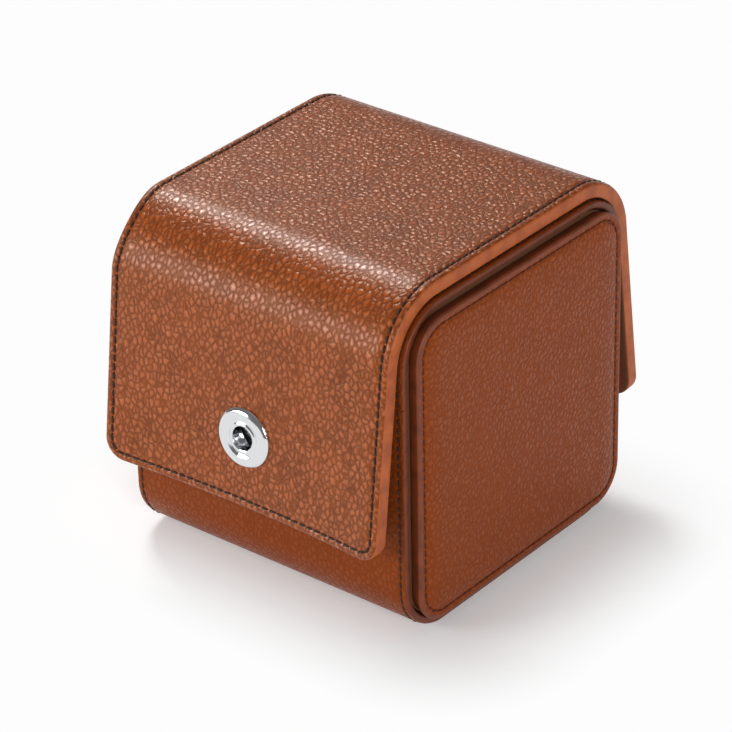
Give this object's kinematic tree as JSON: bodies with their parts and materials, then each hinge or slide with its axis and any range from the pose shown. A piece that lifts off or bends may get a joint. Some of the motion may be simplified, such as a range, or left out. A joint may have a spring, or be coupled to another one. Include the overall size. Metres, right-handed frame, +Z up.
{
  "type": "watch storage case",
  "caption": "Small grained leather cube for a single watch, with padded end panels, a hinged lid and a saddle flap closed by a ring press stud.",
  "frame": {"origin": "middle of the flat bottom face, on the surface that the case stands on", "axes": "+Z up, -Y towards the front with the press stud, +X to the right end panel seen from the front"},
  "size_m": [0.0818, 0.0951, 0.0825],
  "materials": {
    "grained_leather": "pebbled, satin",
    "panel_leather": "fine grained, satin",
    "flap_back_leather_lining": "smooth, matt",
    "suede_lining": "soft suede",
    "pillow_suede": "soft suede",
    "fibreboard": "raw board",
    "polished_metal": "polished",
    "spring_steel": "drawn wire"
  },
  "bodies": {
    "base": {"body_wrap": "grained_leather", "body_shell": "fibreboard", "body_lining": "suede_lining", "left_end_panel": "panel_leather", "right_end_panel": "panel_leather", "left_end_board": "fibreboard", "right_end_board": "fibreboard", "left_end_lining": "suede_lining", "right_end_lining": "suede_lining", "snap_stud": "polished_metal", "snap_post": "polished_metal", "watch_pillow": "pillow_suede", "flap_back_leather": "grained_leather", "flap_back_core": "fibreboard", "flap_back_lining": "flap_back_leather_lining", "flap_back_bend": "grained_leather", "lid_hinge_leather": "grained_leather", "lid_hinge_lining": "suede_lining"},
    "lid": {"lid_panel": "grained_leather", "lid_board": "fibreboard", "lid_lining": "suede_lining", "flap_top_leather": "grained_leather", "flap_top_core": "fibreboard", "flap_top_lining": "flap_back_leather_lining", "flap_front_bend": "grained_leather"},
    "front_flap": {"flap_front_leather": "grained_leather", "flap_front_core": "fibreboard", "flap_front_lining": "flap_back_leather_lining", "snap_cap": "polished_metal", "snap_socket": "polished_metal", "snap_spring": "spring_steel"}
  },
  "joints": [
    {"name": "lid_hinge", "type": "hinge", "parent": "base", "child": "lid", "pos_m": [0, 0.0368, 0.0766], "axis": [-1, 0, 0], "range_deg": [0, 100], "deforming": ["lid_hinge_leather", "lid_hinge_lining", "flap_back_bend"]},
    {"name": "flap_fold", "type": "hinge", "parent": "lid", "child": "front_flap", "pos_m": [0, -0.03708, 0.07778], "axis": [-1, 0, 0], "range_deg": [0, 80], "deforming": ["flap_front_bend"]}
  ]
}
